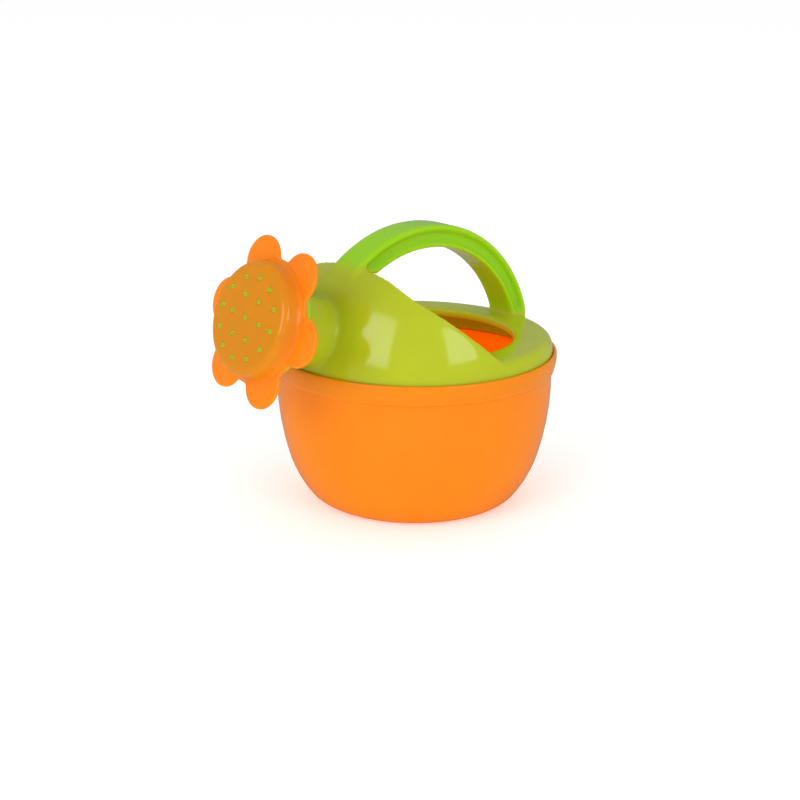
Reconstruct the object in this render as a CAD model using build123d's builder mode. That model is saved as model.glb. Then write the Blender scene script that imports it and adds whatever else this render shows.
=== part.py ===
from build123d import *
from math import cos, radians, sin
import os

# A toy watering can: a round pot, a push-fit cover moulded with its hood, handle and spout neck,
# and a flower rose in two pieces, a cup on the neck and a flower face that turns on the cup.
# Millimetres, +Z up, spout towards -X, origin at the centre of the pot's flat base.

os.makedirs("parts", exist_ok=True)

# ---------------------------------------------------------------- pot
POT_WALL = 1.8
FOOT_R = 28.8                  # flat base
HEEL = (34.8, 2.95)            # radius and height where the base's round corner ends
BELLY = (41.1, 15.3)           # and where the bowl becomes a nearly upright side
SHOULDER_R = 44.6              # outside of the wall under the rim band
SHOULDER_Z = 43.0
RIM_FOOT_R = 45.4              # the rim band steps out here ...
RIM_R = 46.2                   # ... and flares to here
RIM_FLARE_Z = 47.3
RIM_TOP_Z = 49.6
RIM_EDGE_R = 0.5
SEAT_R = 44.9                  # recess inside the rim that takes the cover's skirt
SEAT_Z = 44.6                  # ledge at the bottom of that recess

# ---------------------------------------------------------------- cover
COVER_WALL = 1.8
SKIRT_R = SEAT_R - 0.15
SKIRT_FOOT_Z = SEAT_Z + 0.1
HOOD_FOOT_Z = 50.0             # where the hood's wall leaves the pot's rim
HOOD_BELLY = (41.95, 61.0)     # radius and height half way up the wall
HOOD_SHOULDER = (36.4, 72.3)   # where the shoulder starts
HOOD_CROWN = (25.4, 79.5)      # where it runs out into the crown
HOOD_TOP_Z = 81.9
SHELF_Z = 54.2
SHELF_EDGE_R = 2.6
FILL_R = 32.0                  # fill opening
FILL_LIP = 1.4                 # the opening's rim turns down by this much, and is as thick
FILL_EDGE_R = 0.8
# side view of the hood's mouth, from its top down to where it runs out over the shelf's round edge
HOOD_MOUTH = [(-25.8, 77.8), (-24.0, 74.2), (-21.3, 70.5), (-16.1, 65.4), (-4.4, 54.9), (3.0, 51.6)]
SHELF_FRONT_X = -5.0           # the shelf starts a little inside the mouth

# ---------------------------------------------------------------- handle
HANDLE_WIDTH = 12.4
HANDLE_EDGE_R = 0.9
HANDLE_OUT_R, HANDLE_OUT_X, HANDLE_OUT_Z = 47.3, 0.2, 42.6
HANDLE_IN_R, HANDLE_IN_X, HANDLE_IN_Z = 41.3, 0.0, 41.3
GRIP_RIM = 2.0                 # flange left along the outside of the arch
GRIP_LIP = 1.5                 # flange left along the inside
GRIP_DEPTH = 1.7               # depth of the side channels
GRIP_FRONT_X = -25.5           # the channels run from here ...
GRIP_FOOT_Z = 55.8             # ... over the top and down to here
HANDLE_FOOT_R = 45.7           # the back foot stands this far out, over the pot's rim ...
HANDLE_FOOT_Z = 50.2           # ... and just clear of it
HANDLE_ROOT = (-20.8, 77.6)    # where the underside turns level to meet the hood

# ---------------------------------------------------------------- spout, cup and flower
SPOUT_TILT = 19.1              # degrees above level
FACE_X, FACE_Z = -66.6, 69.95  # centre of the flower's face
NECK_R = 10.5
NECK_BORE_R = 8.9
NECK_TIP = -8.5                # along the spout, measured from the face
NECK_ROOT = -30.4
CUP_R = 17.0
CUP_BACK = -13.2
CUP_MOUTH = -3.2
CUP_WALL = 1.3
CUP_SLOPE = 1.4                # the cup's back leans forward by this much from collar to edge
CUP_EDGE_R = 1.8
COLLAR_TIP = NECK_TIP + 1.0    # the collar stands a little past the neck's end
CUP_FIT = 0.06                 # radial clearance on the neck
FLOWER_FIT = 0.08              # radial clearance between flower and cup
FACE_R = 17.5
FLOWER_WALL = 1.3
DOME_EDGE = (15.3, -0.6)       # the face is a shallow dome out to this radius and depth
DOME_SAG = 0.25
SHOULDER = [(17.5, -2.0), (18.3, -4.6)]
FLARE = 1.5                    # the skirt behind the face flares out by this much to the petals
PETAL_FRONT = -6.5
PETAL_THICK = 1.2
PETAL_R = 7.6
PETAL_PITCH_R = 19.0
PETAL_COUNT = 6
NOTCH_R = 1.6
PETAL_TURN = 22.5              # the flower is turned this far on its cup
HOLE_R = 0.8
HOLE_RINGS = [(7.0, 6), (12.5, 12)]

BEYOND = 120.0                 # longer than the whole can, for cuts that run right through

spout = Plane(
    origin=(FACE_X, 0, FACE_Z),
    x_dir=(sin(radians(SPOUT_TILT)), 0, cos(radians(SPOUT_TILT))),
    z_dir=(-cos(radians(SPOUT_TILT)), 0, sin(radians(SPOUT_TILT))),
)
# the same axis as a sketch plane: X is the distance from the spout's axis, Y runs along it
spout_side = Plane(origin=spout.origin, x_dir=spout.x_dir, z_dir=-spout.y_dir)


# ---------------------------------------------------------------- pot
with BuildPart() as pot:
    with BuildSketch(Plane.XZ) as pot_section:
        # the bowl, drawn a little past its axis and its mouth so that only the wall is left
        with BuildLine():
            heel = TangentArc((FOOT_R, 0), HEEL, tangent=(1, 0))
            belly = TangentArc(heel @ 1, BELLY, tangent=heel % 1)
            side = TangentArc(belly @ 1, (SHOULDER_R, SHOULDER_Z), tangent=belly % 1)
            Polyline(
                side @ 1, (SHOULDER_R, 2 * SHOULDER_Z), (-FOOT_R, 2 * SHOULDER_Z), (-FOOT_R, 0), (FOOT_R, 0)
            )
        make_face()
        offset(amount=-POT_WALL, mode=Mode.SUBTRACT)
        Rectangle(RIM_R, SEAT_Z, align=(Align.MIN, Align.MIN), mode=Mode.INTERSECT)
        # the rim band, with the cover's seat inside it
        with BuildLine():
            Polyline(
                (SHOULDER_R - POT_WALL, SHOULDER_Z), (SHOULDER_R, SHOULDER_Z),
                (RIM_FOOT_R, SHOULDER_Z + 0.5), (RIM_R, RIM_FLARE_Z), (RIM_R - 0.15, RIM_TOP_Z),
                (SEAT_R, RIM_TOP_Z), (SEAT_R, SEAT_Z), (SHOULDER_R - POT_WALL, SEAT_Z), close=True,
            )
        make_face()
        for corner_r in (RIM_R - 0.15, SEAT_R):
            corner = pot_section.vertices().sort_by_distance((corner_r, RIM_TOP_Z))[0]
            fillet(corner, radius=RIM_EDGE_R)
    revolve(axis=Axis.Z)
pot.part.label = "pot"


# ---------------------------------------------------------------- cover
def in_front_of_mouth():
    """Side profile of everything in front of the hood's mouth, drawn beside the can at its -Y side."""
    top_x, top_z = HOOD_MOUTH[0]
    foot_x, foot_z = HOOD_MOUTH[-1]
    with BuildSketch(Plane.XZ.offset(BEYOND / 2)) as side:
        with BuildLine():
            Line((top_x, BEYOND), (top_x, top_z))
            Spline(*HOOD_MOUTH, tangents=[(0, -1), (1, -0.15)])
            Polyline((foot_x, foot_z), (foot_x, 0), (-BEYOND, 0), (-BEYOND, BEYOND), (top_x, BEYOND))
        make_face()
    return side.sketch


def dome_section():
    """Half section of the round dome that the hood and the shelf are both cut from."""
    with BuildSketch(Plane.XZ) as section:
        with BuildLine():
            Line((0, HOOD_FOOT_Z), (SKIRT_R, HOOD_FOOT_Z))
            wall = ThreePointArc((SKIRT_R, HOOD_FOOT_Z), HOOD_BELLY, HOOD_SHOULDER)
            shoulder = TangentArc(wall @ 1, HOOD_CROWN, tangent=wall % 1)
            TangentArc(shoulder @ 1, (0, HOOD_TOP_Z), tangent=shoulder % 1)
            Line((0, HOOD_TOP_Z), (0, HOOD_FOOT_Z))
        make_face()
    return section.sketch


with BuildPart() as dome:
    add(dome_section())
    revolve(axis=Axis.Z)

with BuildPart() as dome_shell:
    add(dome.part)
    offset(amount=-COVER_WALL, openings=dome_shell.faces().sort_by(Axis.Z)[0])

with BuildPart() as hood:
    add(dome_shell.part)
    add(in_front_of_mouth())
    extrude(amount=BEYOND, dir=(0, 1, 0), mode=Mode.INTERSECT)

with BuildPart() as hood_hollow:
    add(dome.part)
    add(dome_shell.part, mode=Mode.SUBTRACT)
    add(in_front_of_mouth())
    extrude(amount=BEYOND, dir=(0, 1, 0), mode=Mode.INTERSECT)

with BuildPart() as shelf:
    # the foot of the same dome, cut level and rounded over, with the skirt below it
    with BuildSketch(Plane.XZ) as shelf_section:
        add(dome_section())
        Rectangle(SKIRT_R, SHELF_Z, align=(Align.MIN, Align.MIN), mode=Mode.INTERSECT)
        shelf_edge = shelf_section.vertices().sort_by_distance((SKIRT_R, SHELF_Z))[0]
        fillet(shelf_edge, radius=SHELF_EDGE_R)
        with Locations((0, SKIRT_FOOT_Z)):
            Rectangle(SKIRT_R, HOOD_FOOT_Z - SKIRT_FOOT_Z, align=(Align.MIN, Align.MIN))
        with Locations((0, SKIRT_FOOT_Z)):
            Rectangle(
                SKIRT_R - COVER_WALL, SHELF_Z - COVER_WALL - SKIRT_FOOT_Z,
                align=(Align.MIN, Align.MIN), mode=Mode.SUBTRACT,
            )
        # the fill opening, with a short lip turned down at its rim
        with Locations((FILL_R, SHELF_Z)):
            Rectangle(FILL_LIP, COVER_WALL + FILL_LIP, align=(Align.MIN, Align.MAX))
        Rectangle(FILL_R, BEYOND, align=(Align.MIN, Align.MIN), mode=Mode.SUBTRACT)
        rim_corner = shelf_section.vertices().sort_by_distance((FILL_R, SHELF_Z))[0]
        fillet(rim_corner, radius=FILL_EDGE_R)
    revolve(axis=Axis.Z)
    # the hood is open below, so the shelf stops at its mouth
    with BuildSketch(Plane.XY.offset(HOOD_FOOT_Z)):
        with Locations((SHELF_FRONT_X, 0)):
            Rectangle(BEYOND, BEYOND, align=(Align.MAX, Align.CENTER))
    extrude(amount=BEYOND, mode=Mode.SUBTRACT)

with BuildPart() as cover:
    # handle: an arch that stands on the hood and on the back of the shelf
    with BuildSketch(Plane.XZ):
        with Locations((HANDLE_OUT_X, HANDLE_OUT_Z)):
            Circle(HANDLE_OUT_R)
        with Locations((HANDLE_IN_X, HANDLE_IN_Z)):
            Circle(HANDLE_IN_R, mode=Mode.SUBTRACT)
        with Locations((0, HANDLE_FOOT_Z)):
            Rectangle(BEYOND, BEYOND, align=(Align.CENTER, Align.MIN), mode=Mode.INTERSECT)
    extrude(amount=HANDLE_WIDTH / 2, both=True)
    arch_edges = cover.edges().filter_by(GeomType.CIRCLE).filter_by(
        lambda e: abs(e.radius - HANDLE_OUT_R) < 0.01 or abs(e.radius - HANDLE_IN_R) < 0.01
    )
    fillet(arch_edges, radius=HANDLE_EDGE_R)
    with BuildSketch(Plane.XY):
        Circle(HANDLE_FOOT_R)
    extrude(amount=BEYOND, mode=Mode.INTERSECT)
    # side channels, between a flange along the outside and one along the inside
    for side in (1, -1):
        with BuildSketch(Plane.XZ.offset(side * (HANDLE_WIDTH / 2 - GRIP_DEPTH))):
            with Locations((HANDLE_OUT_X, HANDLE_OUT_Z)):
                Circle(HANDLE_OUT_R - GRIP_RIM)
            with Locations((HANDLE_IN_X, HANDLE_IN_Z)):
                Circle(HANDLE_IN_R + GRIP_LIP, mode=Mode.SUBTRACT)
            with Locations((GRIP_FRONT_X, GRIP_FOOT_Z)):
                Rectangle(BEYOND, BEYOND, align=(Align.MIN, Align.MIN), mode=Mode.INTERSECT)
        extrude(amount=side * (GRIP_DEPTH + 1), mode=Mode.SUBTRACT)
    with BuildSketch(Plane.XZ):
        with Locations(HANDLE_ROOT):
            Rectangle(BEYOND, BEYOND, align=(Align.MAX, Align.MAX))
    extrude(amount=HANDLE_WIDTH, both=True, mode=Mode.SUBTRACT)

    add(hood.part)
    add(shelf.part)
    # the handle's back foot stays out of the space under the shelf
    with BuildSketch(Plane.XY.offset(SKIRT_FOOT_Z)):
        Circle(SKIRT_R - COVER_WALL)
        with Locations((SHELF_FRONT_X, 0)):
            Rectangle(BEYOND, BEYOND, align=(Align.MIN, Align.CENTER), mode=Mode.INTERSECT)
        Circle(FILL_R + FILL_LIP, mode=Mode.SUBTRACT)
    extrude(amount=SHELF_Z - COVER_WALL - SKIRT_FOOT_Z, mode=Mode.SUBTRACT)

    # spout neck
    with BuildSketch(spout.offset(NECK_ROOT)):
        Circle(NECK_R)
    extrude(amount=NECK_TIP - NECK_ROOT)
    add(hood_hollow.part, mode=Mode.SUBTRACT)
    with BuildSketch(spout.offset(NECK_ROOT - NECK_R)):
        Circle(NECK_BORE_R)
    extrude(amount=BEYOND, mode=Mode.SUBTRACT)
cover.part.label = "cover"


# ---------------------------------------------------------------- rose cup
with BuildPart() as rose_cup:
    with BuildSketch(spout_side) as cup_section:
        collar_bore_r = NECK_R + CUP_FIT
        collar_r = NECK_R + CUP_WALL
        with BuildLine():
            Polyline(
                (CUP_R, CUP_MOUTH), (CUP_R, CUP_BACK + CUP_SLOPE), (collar_bore_r, CUP_BACK),
                (collar_bore_r, COLLAR_TIP), (collar_r, COLLAR_TIP),
                (collar_r, CUP_BACK + CUP_WALL), (CUP_R - CUP_WALL, CUP_BACK + CUP_SLOPE + CUP_WALL),
                (CUP_R - CUP_WALL, CUP_MOUTH), close=True,
            )
        make_face()
        back_corner = cup_section.vertices().sort_by_distance((CUP_R, CUP_BACK + CUP_SLOPE))[0]
        fillet(back_corner, radius=CUP_EDGE_R)
    revolve(axis=Axis(spout.origin, spout.z_dir))
rose_cup.part.label = "rose_cup"


# ---------------------------------------------------------------- flower
with BuildPart() as flower:
    with BuildSketch(spout_side):
        bore_r = CUP_R + FLOWER_FIT
        flare_r = FACE_R + FLARE
        petal_back = PETAL_FRONT - PETAL_THICK
        with BuildLine():
            dome = SagittaArc((0, 0), DOME_EDGE, DOME_SAG)
            Spline(dome @ 1, *SHOULDER, (flare_r, PETAL_FRONT), tangents=[(1, -0.08), (0.7, -0.7)])
            Polyline(
                (flare_r, PETAL_FRONT), (flare_r, petal_back), (bore_r, petal_back), (bore_r, CUP_MOUTH + 0.2),
                (bore_r - FLOWER_WALL, -FLOWER_WALL - 0.8), (0, -FLOWER_WALL), (0, 0),
            )
        make_face()
    revolve(axis=Axis(spout.origin, spout.z_dir))
    # petals: a ring of overlapping discs with their notches rounded
    with BuildSketch(spout.offset(petal_back)) as petals:
        Circle(FACE_R + FLARE)
        with PolarLocations(PETAL_PITCH_R, PETAL_COUNT, start_angle=PETAL_TURN):
            Circle(PETAL_R)
        fillet(petals.vertices(), radius=NOTCH_R)
        Circle(bore_r, mode=Mode.SUBTRACT)
    extrude(amount=PETAL_THICK)
    # watering holes: one in the middle and two rings
    with BuildSketch(spout.offset(PETAL_FRONT)):
        Circle(HOLE_R)
        for ring_r, count in HOLE_RINGS:
            with PolarLocations(ring_r, count, start_angle=PETAL_TURN):
                Circle(HOLE_R)
    extrude(amount=-2 * PETAL_FRONT, mode=Mode.SUBTRACT)
flower.part.label = "flower"

for piece in (pot, cover, rose_cup, flower):
    export_step(piece.part, f"parts/{piece.part.label}.step")
    print(piece.part.label, len(piece.part.solids()), round(piece.part.volume), piece.part.is_valid)
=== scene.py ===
# %% [markdown]
# # A toy watering can
# The can is made of plastic mouldings: an orange pot, a green cover with its hood, handle and spout
# neck, a green cup that pushes on the neck, and an orange flower with watering holes that turns on
# the cup. A small green plate with nozzles sits behind the flower's face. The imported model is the
# frame. It says how large each part is and how it moves. Here each part gets a new, finer mesh and
# its plastic finish.

# %% Load the frame
import math

import bmesh
import bpy
from mathutils import Matrix, Vector
from mathutils.bvhtree import BVHTree


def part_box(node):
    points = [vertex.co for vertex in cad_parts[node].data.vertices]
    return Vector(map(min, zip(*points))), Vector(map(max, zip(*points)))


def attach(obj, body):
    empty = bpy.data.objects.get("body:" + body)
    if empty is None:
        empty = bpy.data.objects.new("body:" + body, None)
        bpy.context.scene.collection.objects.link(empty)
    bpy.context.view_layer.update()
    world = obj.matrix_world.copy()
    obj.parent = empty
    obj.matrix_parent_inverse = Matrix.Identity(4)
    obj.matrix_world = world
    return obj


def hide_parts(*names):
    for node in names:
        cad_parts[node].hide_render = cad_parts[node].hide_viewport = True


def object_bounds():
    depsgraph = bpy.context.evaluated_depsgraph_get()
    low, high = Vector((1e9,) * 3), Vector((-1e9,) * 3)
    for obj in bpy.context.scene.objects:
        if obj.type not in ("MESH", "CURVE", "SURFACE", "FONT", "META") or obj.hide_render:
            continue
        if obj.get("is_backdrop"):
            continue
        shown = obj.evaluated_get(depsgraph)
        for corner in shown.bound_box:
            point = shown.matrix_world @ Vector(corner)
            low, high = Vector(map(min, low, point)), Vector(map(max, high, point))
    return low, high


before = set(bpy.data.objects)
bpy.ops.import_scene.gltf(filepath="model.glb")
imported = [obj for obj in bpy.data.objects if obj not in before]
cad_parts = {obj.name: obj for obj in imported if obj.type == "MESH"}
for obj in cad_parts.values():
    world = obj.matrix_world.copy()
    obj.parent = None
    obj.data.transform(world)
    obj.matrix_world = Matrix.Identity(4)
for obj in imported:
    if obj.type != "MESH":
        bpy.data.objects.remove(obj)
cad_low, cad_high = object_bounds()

MM = 0.001

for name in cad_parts:
    low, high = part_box(name)
    print(name, "size in mm:", [round((b - a) / MM, 1) for a, b in zip(low, high)])

# %% [markdown]
# ## Camera
# The camera is set up first, because every later choice is judged through it. It stands low in
# front of the can and a little to the spout's side. A long lens keeps the pot's sides from
# spreading. The shift slides the picture without turning the camera, so upright lines stay upright.

# %% Camera
CAMERA_AROUND = math.radians(-41.42)
CAMERA_ABOVE = math.radians(16.16)
CAMERA_LEAN = math.radians(0.65)
CAMERA_DISTANCE = 0.5
LOOK_AT = Vector((0, 0, 0.045))
LENS_MM = 69.1
SENSOR_MM = 36
SHIFT_ACROSS = -0.0179
SHIFT_UP = -0.0512

toward_camera = Vector((
    math.sin(CAMERA_AROUND) * math.cos(CAMERA_ABOVE),
    -math.cos(CAMERA_AROUND) * math.cos(CAMERA_ABOVE),
    math.sin(CAMERA_ABOVE),
))
level_right = Vector((math.cos(CAMERA_AROUND), math.sin(CAMERA_AROUND), 0))
level_up = toward_camera.cross(level_right)
right = level_right * math.cos(CAMERA_LEAN) + level_up * math.sin(CAMERA_LEAN)
up = toward_camera.cross(right)

camera = bpy.data.objects.new("camera", bpy.data.cameras.new("camera"))
bpy.context.scene.collection.objects.link(camera)
camera.matrix_world = Matrix.Translation(LOOK_AT + toward_camera * CAMERA_DISTANCE) @ Matrix(
    (right, up, toward_camera)
).transposed().to_4x4()
camera.data.lens = LENS_MM
camera.data.sensor_width = SENSOR_MM
camera.data.shift_x = SHIFT_ACROSS
camera.data.shift_y = SHIFT_UP
bpy.context.scene.camera = camera

# %% [markdown]
# ## Drawing an outline
# Most of this can is round, as a turned pot is, so most pieces start as an outline of half their
# section. The outline is drawn as with a pen, in millimetres. A straight stretch extrudes the last
# point. A round stretch spins the last point about the arc's centre, which gives a true arc, where
# a bevel would only come near one. An arc needs just its end and the heading that the pen has,
# because the two fix its centre.

# %% Pen
ARC_STEP = math.radians(3.5)
QUARTER = math.radians(90)


def line_to(bm, tip, across, height):
    """Extrudes the last point of the outline to a new place."""
    point = bmesh.ops.extrude_vert_indiv(bm, verts=[tip])["verts"][0]
    point.co = (across, 0, height)
    return point


def swing(bm, tip, centre, turn):
    """Spins the last point about a centre. A positive turn bends the arc to the left."""
    steps = max(2, round(abs(turn) / ARC_STEP))
    spun = bmesh.ops.spin(
        bm, geom=[tip], cent=(centre[0], 0, centre[1]), axis=(0, -1, 0), angle=turn, steps=steps,
    )
    return spun["geom_last"][0]


def arc_to(bm, tip, heading, across, height):
    """Draws an arc on from a heading to a new place. Gives the heading at its end too."""
    start = Vector((tip.co.x, tip.co.z))
    chord = Vector((across, height)) - start
    half_turn = math.atan2(chord.y, chord.x) - heading
    half_turn = math.atan2(math.sin(half_turn), math.cos(half_turn))
    radius = chord.length / 2 / math.sin(half_turn)
    centre = start + radius * Vector((-math.sin(heading), math.cos(heading)))
    tip = swing(bm, tip, centre, 2 * half_turn)
    return tip, heading + 2 * half_turn


# %% [markdown]
# ## Turning the outline into a solid
# A full spin with merge on closes the ring without a seam. Where the outline starts and ends on the
# axis, its quads shrink to triangles at the pole once the doubles are merged. The normals are
# worked out again after that, because a spin doesn't know which side of an outline is the outside.

# %% Lathe
SIDES = 160
SAME_POINT = 0.001
NEAR_RING = 0.02


def lathe(bm, sides=SIDES):
    """Spins the whole outline once round the Z axis."""
    bmesh.ops.spin(
        bm, geom=bm.verts[:] + bm.edges[:], cent=(0, 0, 0), axis=(0, 0, 1), angle=2 * math.pi,
        steps=sides, use_merge=True,
    )
    bmesh.ops.remove_doubles(bm, verts=bm.verts[:], dist=SAME_POINT)
    bmesh.ops.recalc_face_normals(bm, faces=bm.faces[:])


def ring_edges(bm, across, height):
    """The ring of edges at that distance from the axis and that height."""
    def on_ring(vert):
        off_axis = abs(vert.co.xy.length - across)
        return off_axis < NEAR_RING and abs(vert.co.z - height) < NEAR_RING

    return [e for e in bm.edges if on_ring(e.verts[0]) and on_ring(e.verts[1])]


def round_edges(bm, edges, size, segments=4):
    """Rounds edges over by a small bevel."""
    bmesh.ops.bevel(
        bm, geom=edges, offset=size, offset_type="OFFSET", segments=segments, profile=0.5,
        affect="EDGES", clamp_overlap=True, material=-1,
    )


# %% [markdown]
# ## Finishing a piece
# Every piece is drawn in millimetres and shrunk to metres once, at the end. Its place goes into its
# mesh, so the object itself stays at the origin, unturned. Shading is smooth, and edges sharper
# than a set angle are kept crisp.

# %% From bmesh to piece
CRISP = math.radians(38)


def make_piece(bm, name, place=None):
    """Writes a bmesh out as a smooth object, in metres."""
    if place is not None:
        bmesh.ops.transform(bm, matrix=place, verts=bm.verts[:])
    bmesh.ops.scale(bm, vec=(MM, MM, MM), verts=bm.verts[:])
    mesh = bpy.data.meshes.new(name)
    bm.to_mesh(mesh)
    bm.free()
    mesh.shade_smooth()
    mesh.set_sharp_from_angle(angle=CRISP)
    piece = bpy.data.objects.new(name, mesh)
    bpy.context.scene.collection.objects.link(piece)
    print(name, "has", len(mesh.polygons), "faces")
    return piece


# %% [markdown]
# ## The pot
# The pot is a thin bowl. Its flat foot turns up through a round heel into a fuller belly, and the
# side opens slightly to the rim band, which steps out and flares. Inside the band is a ledge, where
# the cover's skirt sits. The wall is drawn out along its outside, over the rim and back down its
# inside, so that it has a real thickness from the start and needs no Solidify.

# %% Pot
POT_WALL = 1.8
FOOT = (28.8, 0.0)
HEEL = (34.8, 2.95)
BELLY = (41.1, 15.3)
SHOULDER = (44.6, 43.0)
RIM_FOOT = (45.4, 43.5)
RIM_FLARE = (46.2, 47.3)
RIM_TOP = (46.05, 49.6)
SEAT_TOP = (44.9, 49.6)
SEAT_LEDGE = 44.6
RIM_ROUNDING = 0.55
FLARE_ROUNDING = 0.8
STEP_ROUNDING = 0.25


def inside(point, heading, wall=POT_WALL):
    """The point on the wall's other face, to the left of the pen."""
    return point[0] - wall * math.sin(heading), point[1] + wall * math.cos(heading)


bm = bmesh.new()
tip = bm.verts.new((0, 0, 0))
tip = line_to(bm, tip, *FOOT)
tip, heel_heading = arc_to(bm, tip, 0, *HEEL)
tip, belly_heading = arc_to(bm, tip, heel_heading, *BELLY)
tip, side_heading = arc_to(bm, tip, belly_heading, *SHOULDER)
for corner in (RIM_FOOT, RIM_FLARE, RIM_TOP, SEAT_TOP, (SEAT_TOP[0], SEAT_LEDGE),
               (SHOULDER[0] - POT_WALL, SEAT_LEDGE)):
    tip = line_to(bm, tip, *corner)
tip = line_to(bm, tip, *inside(SHOULDER, side_heading))
tip, heading = arc_to(bm, tip, side_heading + math.pi, *inside(BELLY, belly_heading))
tip, heading = arc_to(bm, tip, heading, *inside(HEEL, heel_heading))
tip, heading = arc_to(bm, tip, heading, *inside(FOOT, 0))
line_to(bm, tip, 0, POT_WALL)
lathe(bm)
round_edges(bm, ring_edges(bm, *RIM_TOP) + ring_edges(bm, *SEAT_TOP), RIM_ROUNDING)
round_edges(bm, ring_edges(bm, *RIM_FLARE), FLARE_ROUNDING, segments=3)
step_edges = ring_edges(bm, *RIM_FOOT) + ring_edges(bm, *SHOULDER)
round_edges(bm, step_edges, STEP_ROUNDING, segments=2)
pot = make_piece(bm, "pot_bowl")

# %% [markdown]
# ## Cutting one solid with another
# The cover isn't round all over: its hood is cut open at the back, and it carries a handle and a
# spout. Such shapes are easier to make as simple solids that are cut and kept by Boolean modifiers
# than as one net of faces drawn by hand. Each cut runs on two temporary objects and gives a new
# bmesh.

# %% Boolean
def temporary_object(bm, name):
    """A scene object that holds a bmesh for a moment."""
    mesh = bpy.data.meshes.new(name)
    bm.to_mesh(mesh)
    holder = bpy.data.objects.new(name, mesh)
    bpy.context.scene.collection.objects.link(holder)
    return holder


def read_evaluated(holder):
    """The mesh of an object with its modifiers applied, as a new bmesh."""
    graph = bpy.context.evaluated_depsgraph_get()
    made = bmesh.new()
    made.from_mesh(bpy.data.meshes.new_from_object(holder.evaluated_get(graph)))
    return made


def combine(base, tool, operation):
    """Cuts or keeps base by tool, and gives a new bmesh. The tool can be used again."""
    holders = [temporary_object(base, "base"), temporary_object(tool, "tool")]
    modifier = holders[0].modifiers.new("combine", "BOOLEAN")
    modifier.object = holders[1]
    modifier.operation = operation
    modifier.solver = "MANIFOLD"
    made = read_evaluated(holders[0])
    for holder in holders:
        bpy.data.objects.remove(holder)
    base.free()
    return made


# %% [markdown]
# ## The spout's own axes
# The spout, cup and flower share an axis that rises towards the spout's mouth. They are modelled
# upright on the Z axis, with the flower's face at zero, and one matrix then lays them on the
# spout's axis.

# %% Spout axes
SPOUT_RISE = math.radians(19.1)
FACE_CENTRE = Vector((-66.6, 0, 69.95))
spout_out = Vector((-math.cos(SPOUT_RISE), 0, math.sin(SPOUT_RISE)))
spout_up = Vector((math.sin(SPOUT_RISE), 0, math.cos(SPOUT_RISE)))
on_spout = Matrix.Translation(FACE_CENTRE) @ Matrix(
    (spout_up, spout_out.cross(spout_up), spout_out)
).transposed().to_4x4()

# %% [markdown]
# ## The dome that the hood and the shelf come from
# Seen from the front, the cover's hood is a round dome over the pot's rim: a wall that leans in, a
# rounded shoulder and a nearly flat crown. The outer dome and an inner one, a wall's thickness
# inside it, are both turned as solids. The hood is the part of the outer dome that lies in front of
# its mouth, less the inner one.

# %% Domes
COVER_WALL = 1.8
SKIRT_FIT = 0.08
SKIRT_ACROSS = SEAT_TOP[0] - SKIRT_FIT
SKIRT_FOOT = SEAT_LEDGE + 0.1
BELOW_SKIRT = SKIRT_FOOT - 2
DOME_FOOT = 50.0
DOME_SHOULDER = (36.4, 72.3)
DOME_CROWN = (25.4, 79.5)
DOME_TOP = 81.9
WALL_HEADING = math.radians(98.65)
SHOULDER_HEADING = math.radians(122.4)
CROWN_HEADING = math.radians(171.2)


def dome(wall, foot):
    """A solid dome whose skin lies a wall's thickness inside the outer one."""
    bm = bmesh.new()
    tip = bm.verts.new((0, 0, foot))
    skin_foot = inside((SKIRT_ACROSS, DOME_FOOT), WALL_HEADING, wall)
    tip = line_to(bm, tip, skin_foot[0], foot)
    if foot < skin_foot[1]:
        tip = line_to(bm, tip, *skin_foot)
    shoulder = inside(DOME_SHOULDER, SHOULDER_HEADING, wall)
    tip, heading = arc_to(bm, tip, WALL_HEADING, *shoulder)
    tip, heading = arc_to(bm, tip, heading, *inside(DOME_CROWN, CROWN_HEADING, wall))
    tip, heading = arc_to(bm, tip, heading, 0, DOME_TOP - wall)
    lathe(bm)
    return bm


def inner_dome():
    """The space under the dome, carried down past the rim so that it cuts right through."""
    return dome(COVER_WALL, BELOW_SKIRT)


# %% [markdown]
# ## The hood's mouth
# Seen from the side, the mouth drops from the crown, bends, runs down in a straight slope and
# flattens out on the shelf. One outline is extruded into a block that holds all that lies in front
# of the mouth.

# %% Mouth
MOUTH_TOP = (-24.9, 78.6)
MOUTH_BEND = (-22.5, 72.7)
MOUTH_SLOPE_END = (-5.9, 57.1)
MOUTH_END = (3.2, 51.8)
BEYOND = 60.0


def extrude_outline(bm, low, high):
    """Fills a closed outline in the X-Z plane and extrudes it along Y."""
    side = bmesh.ops.contextual_create(bm, geom=bm.edges[:])["faces"]
    bmesh.ops.translate(bm, vec=(0, low, 0), verts=bm.verts[:])
    swept = bmesh.ops.extrude_face_region(bm, geom=side)["geom"]
    far_side = [g for g in swept if isinstance(g, bmesh.types.BMVert)]
    bmesh.ops.translate(bm, vec=(0, high - low, 0), verts=far_side)
    bmesh.ops.recalc_face_normals(bm, faces=bm.faces[:])


def in_front_of_mouth():
    """A block whose back is the hood's mouth."""
    bm = bmesh.new()
    first = tip = bm.verts.new((-2 * BEYOND, 0, 2 * BEYOND))
    tip = line_to(bm, tip, MOUTH_TOP[0], 2 * BEYOND)
    tip = line_to(bm, tip, *MOUTH_TOP)
    tip, heading = arc_to(bm, tip, -QUARTER, *MOUTH_BEND)
    tip = line_to(bm, tip, *MOUTH_SLOPE_END)
    tip, heading = arc_to(bm, tip, heading, *MOUTH_END)
    tip = line_to(bm, tip, MOUTH_END[0], 0)
    tip = line_to(bm, tip, -2 * BEYOND, 0)
    bm.edges.new((tip, first))
    extrude_outline(bm, -BEYOND, BEYOND)
    return bm


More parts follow.
